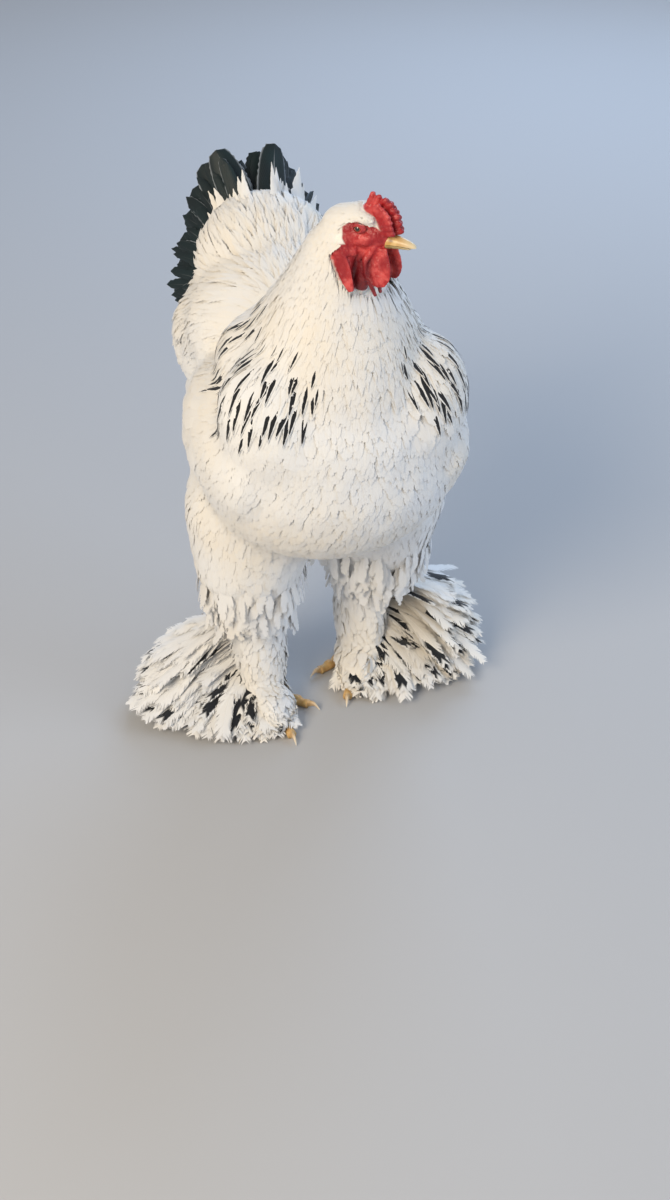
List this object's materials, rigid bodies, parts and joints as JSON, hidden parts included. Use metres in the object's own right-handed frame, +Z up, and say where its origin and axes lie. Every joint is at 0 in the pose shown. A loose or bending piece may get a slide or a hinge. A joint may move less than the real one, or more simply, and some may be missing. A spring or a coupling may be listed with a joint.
{
  "type": "brahma chicken",
  "caption": "Life-size standing light Brahma cock with feathered feet, pea comb, striped neck hackle and short fanned dark tail, head turned to its left.",
  "frame": {"origin": "middle of the bounding box, on the floor under the bird", "axes": "+Z up, the bird's breast faces -Y and its left side is +X"},
  "size_m": [0.434, 0.4726, 0.6651],
  "materials": {
    "plumage": "soft white feathers, striped black on the neck and feet",
    "dark_plumage": "black feathers with a green sheen",
    "red_skin": "bare red skin, finely grained",
    "horn": "satin yellow horn",
    "scale": "yellow scaled skin",
    "eye": "wet orange-brown eye with a black pupil"
  },
  "bodies": {
    "root": {"beak_lower": "horn", "beak_upper": "horn", "claw_hind_left": "horn", "claw_hind_right": "horn", "claw_inner_left": "horn", "claw_inner_right": "horn", "claw_middle_left": "horn", "claw_middle_right": "horn", "claw_outer_left": "horn", "claw_outer_right": "horn", "comb": "red_skin", "ear_lobe_left": "red_skin", "ear_lobe_right": "red_skin", "eye_left": "eye", "eye_right": "eye", "foot_feathers_left": "plumage", "foot_feathers_right": "plumage", "head": "plumage", "neck": "plumage", "saddle": "plumage", "shank_left": "plumage", "shank_right": "plumage", "tail_left": "dark_plumage", "tail_right": "dark_plumage", "thigh_left": "plumage", "thigh_right": "plumage", "toe_hind_left": "scale", "toe_hind_right": "scale", "toe_inner_left": "scale", "toe_inner_right": "scale", "toe_middle_left": "scale", "toe_middle_right": "scale", "toe_outer_left": "scale", "toe_outer_right": "scale", "trunk": "plumage", "wattle_left": "red_skin", "wattle_right": "red_skin", "wing_left": "plumage", "wing_right": "plumage"}
  },
  "joints": []
}
